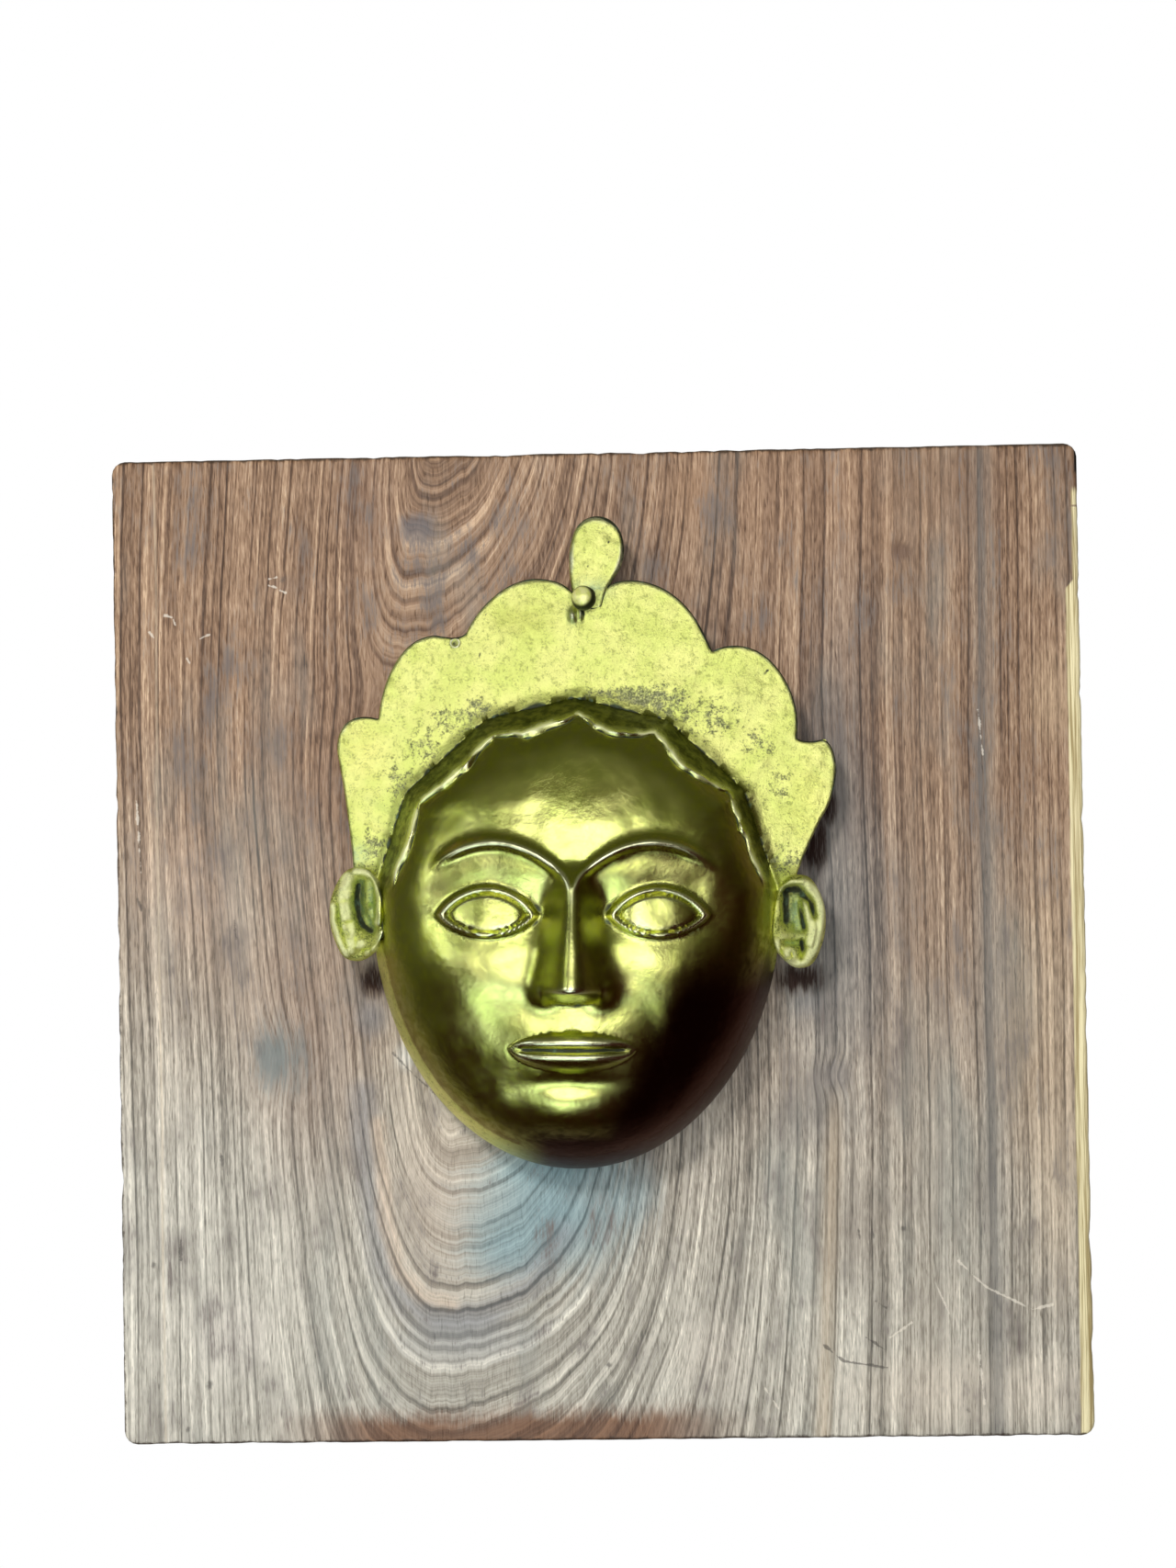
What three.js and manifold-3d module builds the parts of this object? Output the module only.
// A cast brass face mask pinned to a square wooden board that hangs on a wall.
// Millimetres. +X is to the right of someone who looks at the mask, +Z is up, and the mask faces -Y.
// The origin is the middle of the board's back, which lies on the wall.
import * as THREE from "three";
import { mergeVertices } from "three/addons/utils/BufferGeometryUtils.js";
import Module from "manifold-3d";

const wasm = await Module();
wasm.setup();

const { clamp, degToRad, lerp, radToDeg, smoothstep } = THREE.MathUtils;

// The board: 10 inches wide, cut a little taller than wide.
const BOARD = { width: 254, height: 259, thickness: 22, cornerRadius: 3.6, easing: 1.2 };

// The middle of the head on the board, the mask's slight lean to the right, and the gap behind its rim.
const MASK = { x: -5.7, z: 12.1, lean: degToRad(0.93), gap: 0.3 };

// The head is a hollow half shell: half a circle above its middle, half an egg below it.
const HEAD = { halfWidth: 53.4, above: 54, below: 70, depth: 37, fullness: 2.5, wall: 2.8 };

// The hair is a band of flat locks round the brow. The lower edge of each is a scallop between two cusps,
// made a little uneven by hand. Turns are measured from straight up, positive to the right.
const HAIR = { cuspRadius: 49.2, crest: 1.1, step: 1.2 };
const LOCKS = [
  { from: -86, to: -58, scallop: 1.6 },
  { from: -58, to: -26.5, scallop: 2.6 },
  { from: -26.5, to: 0, scallop: 2.6 },
  { from: 0, to: 27.3, scallop: 3.4 },
  { from: 27.3, to: 57, scallop: 3.6 },
  { from: 57, to: 86, scallop: 1.8 },
];

// The crown is a flat flange that stands off the board behind the head, with a leaf on its top.
const CROWN = { standOff: 9, thickness: 2.4, innerRadius: 47, edge: 0.5, leafStep: 0.4 };

// The face follows the school canon: equal thirds from hairline to chin, the eyes at half the head's
// height and one eye width apart, the mouth a third of the way from the nose to the chin.
const HAIRLINE = HAIR.cuspRadius - 3;
const CHIN = -60;
const THIRD = (HAIRLINE - CHIN) / 3;
const EYE_WIDTH = (2 * HEAD.halfWidth) / 5;
const EYE = { x: EYE_WIDTH, z: (HEAD.above + CHIN) / 2, halfWidth: EYE_WIDTH / 2, upper: 5.6, lower: 4.2 };
const BROW = { z: HAIRLINE - THIRD, inner: 2.5, outer: 37, peak: 20, rise: 4.4, bend: 0.0254, height: 1.9 };
const NOSE = { top: BROW.z + 1, tip: CHIN + THIRD + 4, base: CHIN + THIRD, height: 11.5, wing: 7 };
const MOUTH = { z: CHIN + THIRD * (2 / 3), halfWidth: EYE_WIDTH * 0.75, upper: 4.6, lower: 5.6 };

// The ears, each at its own place: the right one sits a little lower than the left.
const EAR = { height: 11, thickness: 7.2, outerRim: 2.3, innerRim: 1.2, lobe: 2.5 };
const EARS = [
  { side: -1, x: -56.1, z: -3.6, halfWidth: 7.3, halfHeight: 12.3 },
  { side: 1, x: 57.4, z: -5.3, halfWidth: 7.1, halfHeight: 12.1 },
];

// The ball-headed pin that holds the crown to the board.
const PIN = { x: 2.2, z: 77.8, ball: 3.2, shank: 1.2, clearance: 0.3, inBoard: 10 };

// The cells each way of the grid that the head starts from, and the longest edges of its facets: on
// plain stretches, on the nose, along brow and hairline, on the eyes and the mouth, and inside.
const START_CELLS = 8;
const FACET = { plain: 9, nose: 3.3, line: 2.3, feature: 1.8, hollow: 14, socket: 9 };

// Forms of the head, all heights being above the board

function bump(x, z, centreX, centreZ, radiusX, radiusZ) {
  return Math.exp(-(((x - centreX) / radiusX) ** 2) - ((z - centreZ) / radiusZ) ** 2);
}

function dome(reach) {
  return (1 - clamp(reach, 0, 1) ** HEAD.fullness) ** (1 / HEAD.fullness);
}

// The lock that a point belongs to by its turn, and the share of the way across it.
function lockAt(x, z) {
  const turn = radToDeg(Math.atan2(x, z));
  const lock = LOCKS.find(({ from, to }) => turn >= from && turn <= to);
  return lock ? { ...lock, share: (turn - lock.from) / (lock.to - lock.from) } : null;
}

// Each lock is flat outside, so the head's outline is straight from cusp to cusp.
function facet(x, z) {
  const lock = lockAt(x, z);
  if (!lock) return 1;
  const span = degToRad(lock.to - lock.from);
  return Math.cos(span / 2) / Math.cos((lock.share - 0.5) * span);
}

// How far a point lies outside the hairline, and how far it lies above the brow's line.
function fromHairline(x, z) {
  const lock = lockAt(x, z);
  const scallop = lock ? lock.scallop * Math.sin(Math.PI * lock.share) : 0;
  return Math.hypot(x, z) - HAIR.cuspRadius + scallop;
}

function fromBrow(side, z) {
  return z - BROW.z - BROW.rise + BROW.bend * (side - BROW.peak) ** 2;
}

// The almond opening of an eye, and the lens of the mouth: 0 in the middle, 1 on the edge, more outside.
function fromEye(side, z) {
  const halfHeight = z > EYE.z ? EYE.upper : EYE.lower;
  return ((side - EYE.x) / EYE.halfWidth) ** 2 + (Math.abs(z - EYE.z) / halfHeight) ** 1.25;
}

function fromMouth(side, z) {
  const halfHeight = z > MOUTH.z ? MOUTH.upper : MOUTH.lower;
  return (side / MOUTH.halfWidth) ** 2 + (Math.abs(z - MOUTH.z) / halfHeight) ** 1.5;
}

// The brow is a roll of metal that thins out to its outer end.
function brow(side, z) {
  const ends = smoothstep(side, 0, BROW.inner) * (1 - smoothstep(side, BROW.outer - 9, BROW.outer));
  return BROW.height * ends * Math.exp(-((fromBrow(side, z) / 1.7) ** 2));
}

// The nose widens from the brow down to its tip, with a wing on each side.
function nose(side, z) {
  const down = clamp((NOSE.top - z) / (NOSE.top - NOSE.tip), 0, 1);
  const halfWidth = 3 + 4.6 * down ** 1.6;
  const ridge = NOSE.height * (0.25 + 0.75 * down) * smoothstep(down, 0, 0.25);
  const under = smoothstep(z, NOSE.base - 1, NOSE.tip - 0.5);
  const wing = 4.5 * bump(side, z, NOSE.wing, NOSE.tip - 0.5, 3.2, 3.6);
  return Math.max(ridge * under * Math.exp(-((side / halfWidth) ** 2.2)), wing);
}

// A shallow socket round each eye runs in beside the nose, and the wall behind it follows it.
function socket(side, z) {
  const roundEye = bump(side, z, EYE.x - 1, EYE.z + 2.5, EYE.halfWidth + 3.5, 8.5);
  return -2.8 * roundEye - 1.6 * bump(side, z, 8.5, EYE.z + 1, 3.5, 6);
}

// The eye's ball swells between two raised lids.
function eye(side, z) {
  const away = fromEye(side, z);
  const eyeball = 3.6 * Math.sqrt(Math.max(0, 1 - away * 0.95));
  const lid = 1.7 * Math.exp(-(((away - 1.15) / 0.3) ** 2));
  return socket(side, z) + Math.max(eyeball, lid);
}

// Two full lips that part at a shallow groove, on a soft swelling.
function mouth(side, z) {
  const swelling = 2.2 * bump(side, z, 0, MOUTH.z, 17, 9);
  const lips = 3 * Math.sqrt(Math.max(0, 1 - fromMouth(side, z)));
  const across = 1 - smoothstep(side, MOUTH.halfWidth - 5, MOUTH.halfWidth + 1);
  const groove = -2 * across * Math.exp(-(((z - MOUTH.z) / 1.1) ** 2));
  const underLip = -1.4 * bump(side, z, 0, MOUTH.z - 9, 10, 2.8);
  return swelling + lips + groove + underLip;
}

function cheekAndChin(side, z) {
  return 1.6 * bump(side, z, 27, EYE.z - 14, 13, 12) + 2.4 * bump(side, z, 0, CHIN + 8, 11, 7);
}

// The band of hair starts with a raised edge and lies a little lower than the brow inside it.
function hair(x, z) {
  const outside = fromHairline(x, z);
  const crest = HAIR.crest * Math.exp(-((outside / 1.1) ** 2));
  return smoothstep(z, 2, 8) * (crest - HAIR.step * smoothstep(outside, -0.5, 2));
}

// The outer skin at a point and its reach, which is 0 in the middle of the head and 1 at the rim.
function skinHeight(x, z, reach) {
  const side = Math.abs(x);
  const face = brow(side, z) + nose(side, z) + eye(side, z) + mouth(side, z) + cheekAndChin(side, z);
  const fromRim = 1 - reach;
  const carving = face * smoothstep(fromRim, 0.02, 0.2) + hair(x, z) * smoothstep(fromRim, 0, 0.06);
  return HEAD.depth * dome(reach) + carving;
}

// The longest edge that a facet of the skin may have at a point.
function skinFacet(x, z) {
  const side = Math.abs(x);
  if (fromEye(side, z) < 1.8 || fromMouth(side, z) < 1.4) return FACET.feature;
  const onHairline = z > 2 && Math.abs(fromHairline(x, z)) < 2.2;
  const onBrow = side < BROW.outer + 1 && Math.abs(fromBrow(side, z)) < 3;
  if (onHairline || onBrow) return FACET.line;
  return side < 13 && z < NOSE.top && z > NOSE.base - 4 ? FACET.nose : FACET.plain;
}

// The inside of the wall, and the longest edge that a facet of it may have.
function hollowHeight(x, z, reach) {
  return (HEAD.depth - HEAD.wall) * dome(reach) + socket(Math.abs(x), z);
}

function hollowFacet(x, z) {
  return socket(Math.abs(x), z) < -0.3 ? FACET.socket : FACET.hollow;
}

// The skin of the head is closed by its flat back, and the hollow runs out past that back.
const SKIN = { inset: 0, back: MASK.gap, heightAt: skinHeight, facetAt: skinFacet };
const HOLLOW = { inset: HEAD.wall, back: -2, heightAt: hollowHeight, facetAt: hollowFacet };

// Tools that turn three.js geometry into solids and back

function solid(geometry) {
  geometry.deleteAttribute("normal");
  geometry.deleteAttribute("uv");
  const merged = mergeVertices(geometry, 1e-4);
  const vertProperties = merged.getAttribute("position").array;
  const triVerts = new Uint32Array(merged.index.array);
  return new wasm.Manifold(new wasm.Mesh({ numProp: 3, vertProperties, triVerts }));
}

function named(name, made, finish) {
  const { vertProperties, triVerts } = made.getMesh();
  const geometry = new THREE.BufferGeometry();
  geometry.setAttribute("position", new THREE.BufferAttribute(vertProperties, 3));
  geometry.setIndex(new THREE.BufferAttribute(triVerts, 1));
  geometry.computeVertexNormals();
  const mesh = new THREE.Mesh(geometry, new THREE.MeshStandardMaterial(finish));
  mesh.name = name;
  return mesh;
}

const along = (steps, pointAt) => Array.from({ length: steps + 1 }, (_, i) => pointAt(i / steps));

// A corner of the head's facets from a place on a square, which is rounded to the head's outline.
function cornerAt(u, v, { inset, back, heightAt }) {
  const discX = u * Math.sqrt(1 - (v * v) / 2);
  const discZ = v * Math.sqrt(1 - (u * u) / 2);
  const share = Math.hypot(discX, discZ);
  const reach = Math.sin((Math.min(1, share) * Math.PI) / 2);
  const flat = lerp(1, facet(discX, discZ), smoothstep(reach, 0.7, 0.95));
  const spread = share > 0 ? (reach * flat) / share : 1;
  const x = discX * spread * (HEAD.halfWidth - inset);
  const z = discZ * spread * ((discZ > 0 ? HEAD.above : HEAD.below) - inset);
  const isOnRim = Math.max(Math.abs(u), Math.abs(v)) === 1;
  return { u, v, point: new THREE.Vector3(x, isOnRim ? -back : -heightAt(x, z, reach), z) };
}

// Cuts a triangle at the middles of its long edges, which are given as -1 where an edge is short. Of the
// two ways to cut what is left beside a corner, the shorter cut is taken.
function cutTriangle([a, b, c], [ab, bc, ca], distance) {
  const cuts = [ab, bc, ca].filter((middle) => middle >= 0).length;
  if (cuts === 0) return [[a, b, c]];
  if (cuts === 3) return [[a, ab, ca], [ab, b, bc], [ca, bc, c], [ab, bc, ca]];
  if (cuts === 1 ? ab < 0 : ca >= 0) return cutTriangle([b, c, a], [bc, ca, ab], distance);
  if (cuts === 1) return [[a, ab, c], [ab, b, c]];
  const rest = distance(a, bc) < distance(ab, c) ? [[a, ab, bc], [a, bc, c]] : [[a, ab, c], [ab, bc, c]];
  return [[ab, b, bc], ...rest];
}

// The two triangles of each cell of a square grid, split towards the square's nearest corner.
function gridTriangles(cells) {
  const triangles = [];
  for (let row = 0; row < cells; row++) {
    for (let column = 0; column < cells; column++) {
      const a = row * (cells + 1) + column;
      const [b, c, d] = [a + cells + 1, a + cells + 2, a + 1];
      const fromA = row < cells / 2 === column < cells / 2;
      triangles.push(...(fromA ? [[a, b, c], [a, c, d]] : [[a, b, d], [b, c, d]]));
    }
  }
  return triangles;
}

// A dome on the head's outline, closed by a flat back. It starts as a coarse square grid, and its edges
// are halved until none is longer than its form asks.
function shell(form) {
  const square = new THREE.PlaneGeometry(2, 2, START_CELLS, START_CELLS).getAttribute("position");
  const places = Array.from({ length: square.count }, (_, i) => [square.getX(i), square.getY(i)]);
  const corners = places.map(([u, v]) => cornerAt(u, v, form));
  const distance = (from, to) => corners[from].point.distanceTo(corners[to].point);
  let triangles = gridTriangles(START_CELLS);
  let before = 0;
  while (triangles.length > before) {
    before = triangles.length;
    const middles = new Map();
    const middleOf = (from, to) => {
      const key = `${Math.min(from, to)} ${Math.max(from, to)}`;
      if (!middles.has(key)) {
        const [start, end] = [corners[from], corners[to]];
        const middle = cornerAt((start.u + end.u) / 2, (start.v + end.v) / 2, form);
        const isLong = distance(from, to) > form.facetAt(middle.point.x, middle.point.z);
        middles.set(key, isLong ? corners.push(middle) - 1 : -1);
      }
      return middles.get(key);
    };
    triangles = triangles.flatMap(([a, b, c]) =>
      cutTriangle([a, b, c], [middleOf(a, b), middleOf(b, c), middleOf(c, a)], distance),
    );
  }
  const centre = corners.push({ point: new THREE.Vector3(0, -form.back, 0) }) - 1;
  const isOnRim = ([from, to]) => {
    const [start, end] = [corners[from], corners[to]];
    return Math.abs(start.u + end.u) === 2 || Math.abs(start.v + end.v) === 2;
  };
  const rim = triangles.flatMap(([a, b, c]) => [[a, b], [b, c], [c, a]]).filter(isOnRim);
  const geometry = new THREE.BufferGeometry().setFromPoints(corners.map((corner) => corner.point));
  geometry.setIndex([...triangles, ...rim.map(([from, to]) => [centre, to, from])].flat());
  return solid(geometry);
}

// A round roll of metal laid along a curve, thickest in its middle.
function roll(curve, radius, endRadius, sides, steps) {
  const geometry = new THREE.CylinderGeometry(1, 1, 1, sides, steps);
  const position = geometry.getAttribute("position");
  const forward = new THREE.Vector3(0, -1, 0);
  const across = new THREE.Vector3();
  const out = new THREE.Vector3();
  for (let i = 0; i < position.count; i++) {
    const share = position.getY(i) + 0.5;
    const thickness = lerp(endRadius, radius, Math.sin(Math.PI * share) ** 0.6);
    const tangent = curve.getTangent(share);
    across.crossVectors(tangent, forward).normalize();
    out.crossVectors(across, tangent).normalize();
    const point = curve.getPoint(share);
    point.addScaledVector(across, position.getX(i) * thickness);
    point.addScaledVector(out, position.getZ(i) * thickness);
    position.setXYZ(i, point.x, point.y, point.z);
  }
  return solid(geometry);
}

function ball([x, height, z], [radiusX, radiusY, radiusZ], round, tall) {
  const geometry = new THREE.SphereGeometry(1, round, tall);
  geometry.scale(radiusX, radiusY, radiusZ);
  geometry.translate(x, -height, z);
  return solid(geometry);
}

// An ear is a dished flap with a thick outer rim, a thin inner rim and a round lobe.
function ear({ side, x, z, halfWidth, halfHeight }) {
  const rimHeight = EAR.height + EAR.thickness / 3;
  const rim = (from, to, radius, inward) => {
    const places = along(8, (share) => {
      const turn = lerp(from, to, share);
      const reachX = (halfWidth - inward) * Math.cos(turn) * side;
      return new THREE.Vector3(x + reachX, -rimHeight, z + (halfHeight - inward) * Math.sin(turn));
    });
    return roll(new THREE.CatmullRomCurve3(places), radius, 0.8, 6, 9);
  };
  const flapRadii = [halfWidth - 0.6, EAR.thickness / 2, halfHeight - 0.6];
  const dishRadii = [halfWidth * 0.45, 5, halfHeight * 0.56];
  const flap = ball([x, EAR.height, z], flapRadii, 12, 8);
  const dish = ball([x - side * 0.8, EAR.height + 4.2, z + 1.2], dishRadii, 10, 6);
  const lobeMiddle = [x - side * 1.6, rimHeight, z - halfHeight * 0.58];
  const lobe = ball(lobeMiddle, [EAR.lobe, EAR.lobe, EAR.lobe], 8, 6);
  const outerRim = rim(Math.PI * 0.75, -Math.PI * 0.55, EAR.outerRim, 2);
  const innerRim = rim(Math.PI * 0.8, Math.PI * 1.3, EAR.innerRim, 1.6);
  return flap.subtract(dish).add(outerRim).add(innerRim).add(lobe);
}

// The crown's edge as seen from the front, from the left ear over the top to the right ear: three lobes
// on each side, drawn as Bezier curves from notch to notch, and the foot of the leaf between them.
const CROWN_START = [-57.3, 4];
const CROWN_CURVES = [
  [-57.6, 14, -59.8, 28, -61.7, 38],
  [-62.3, 43.5, -59.5, 49.5, -51, 46.9],
  [-50.8, 54, -46.5, 68, -36.5, 68.6],
  [-33.5, 68.3, -31, 67.2, -28.3, 69.1],
  [-25.5, 76, -17.5, 83.6, -9.5, 83.2],
  [-6, 83, -3, 82, -1.5, 80.3],
  [1, 78, 5, 78, 7.6, 80.6],
  [11, 84, 19.5, 83.4, 25.4, 78.8],
  [30, 75.4, 32.6, 70.5, 35.3, 64.3],
  [38.5, 66.4, 45.5, 67, 50.8, 61.4],
  [55.5, 56.5, 58.2, 48.5, 57, 41.8],
  [60, 40.4, 62.5, 41.4, 64.2, 41.7],
  [68.5, 38.5, 68, 28, 63.1, 20.9],
  [61, 16.5, 58, 10, 56, 4],
];

// The leaf's edge, from the left of its foot over the tip to the right.
const LEAF_START = [0.2, 76];
const LEAF_CURVES = [
  [-1.8, 82, -2.4, 89, -0.8, 94],
  [0.8, 101, 10.2, 101.4, 12.2, 93.5],
  [13, 89.5, 12, 86, 10, 83.6],
  [8.6, 81.5, 7.6, 79, 7, 76],
];

function outlineOf(start, curves) {
  const outline = new THREE.Shape();
  outline.moveTo(...start);
  curves.forEach((curve) => outline.bezierCurveTo(...curve));
  return outline;
}

// A flat plate with eased edges, whose back stands off the board.
function plate(outline, standOff, thickness, easing) {
  const geometry = new THREE.ExtrudeGeometry(outline, {
    depth: thickness - 2 * easing,
    curveSegments: 4,
    bevelThickness: easing,
    bevelSize: easing,
    bevelOffset: -easing,
    bevelSegments: 1,
  });
  geometry.rotateX(Math.PI / 2);
  geometry.translate(0, -standOff - easing, 0);
  return solid(geometry);
}

function crown() {
  const outline = outlineOf(CROWN_START, CROWN_CURVES);
  outline.absarc(0, 0, CROWN.innerRadius, 0.02, Math.PI - 0.02, false);
  const leaf = outlineOf(LEAF_START, LEAF_CURVES);
  const crownPlate = plate(outline, CROWN.standOff, CROWN.thickness, CROWN.edge);
  return crownPlate.add(plate(leaf, CROWN.standOff + CROWN.leafStep, CROWN.thickness, CROWN.edge));
}

// The hole for the pin, from one height above the board to another.
function pinHole(from, to) {
  const radius = PIN.shank + PIN.clearance;
  const geometry = new THREE.CylinderGeometry(radius, radius, to - from, 12);
  geometry.translate(PIN.x, (from + to) / -2, PIN.z);
  return geometry;
}

// The object's pieces

function brassMask() {
  const outside = [crown(), ...EARS.map(ear)].reduce((all, next) => all.add(next), shell(SKIN));
  return outside.subtract(shell(HOLLOW)).subtract(solid(pinHole(0, 30)));
}

// The pin is turned about its own axis: a straight shank that ends in a ball.
function fixingPin() {
  const underBall = CROWN.standOff + CROWN.leafStep + CROWN.thickness + PIN.clearance;
  const seatAngle = -Math.acos(PIN.shank / PIN.ball);
  const middle = underBall - PIN.ball * Math.sin(seatAngle);
  const profile = along(7, (share) => {
    const angle = lerp(seatAngle, Math.PI / 2, share);
    return new THREE.Vector2(Math.max(0, PIN.ball * Math.cos(angle)), middle + PIN.ball * Math.sin(angle));
  });
  profile.unshift(new THREE.Vector2(0, -PIN.inBoard), new THREE.Vector2(PIN.shank, -PIN.inBoard));
  const geometry = new THREE.LatheGeometry(profile, 14);
  geometry.rotateX(Math.PI);
  geometry.translate(PIN.x, 0, PIN.z);
  return solid(geometry);
}

function woodenBoard(hole) {
  const outline = new THREE.Shape();
  const corners = [[1, 1], [-1, 1], [-1, -1], [1, -1]];
  corners.forEach(([right, up], quarter) => {
    const x = right * (BOARD.width / 2 - BOARD.cornerRadius);
    const z = up * (BOARD.height / 2 - BOARD.cornerRadius);
    const start = (quarter * Math.PI) / 2;
    outline.absarc(x, z, BOARD.cornerRadius, start, start + Math.PI / 2, false);
  });
  return plate(outline, 0, BOARD.thickness, BOARD.easing).subtract(solid(hole));
}

const WOOD = { color: 0x5b3b2b, roughness: 0.55, metalness: 0 };
const BRASS = { color: 0xa8912f, roughness: 0.35, metalness: 1 };

// The mask and its pin stand on the board's front.
const onBoard = new THREE.Group();
onBoard.position.set(MASK.x, -BOARD.thickness, MASK.z);
onBoard.rotation.y = MASK.lean;
onBoard.updateMatrix();
onBoard.add(named("brass_mask", brassMask(), BRASS), named("fixing_pin", fixingPin(), BRASS));

const holeInBoard = pinHole(-PIN.inBoard - PIN.clearance, 1).applyMatrix4(onBoard.matrix);

const plaque = new THREE.Group();
plaque.add(named("wooden_board", woodenBoard(holeInBoard), WOOD), onBoard);

export default plaque;
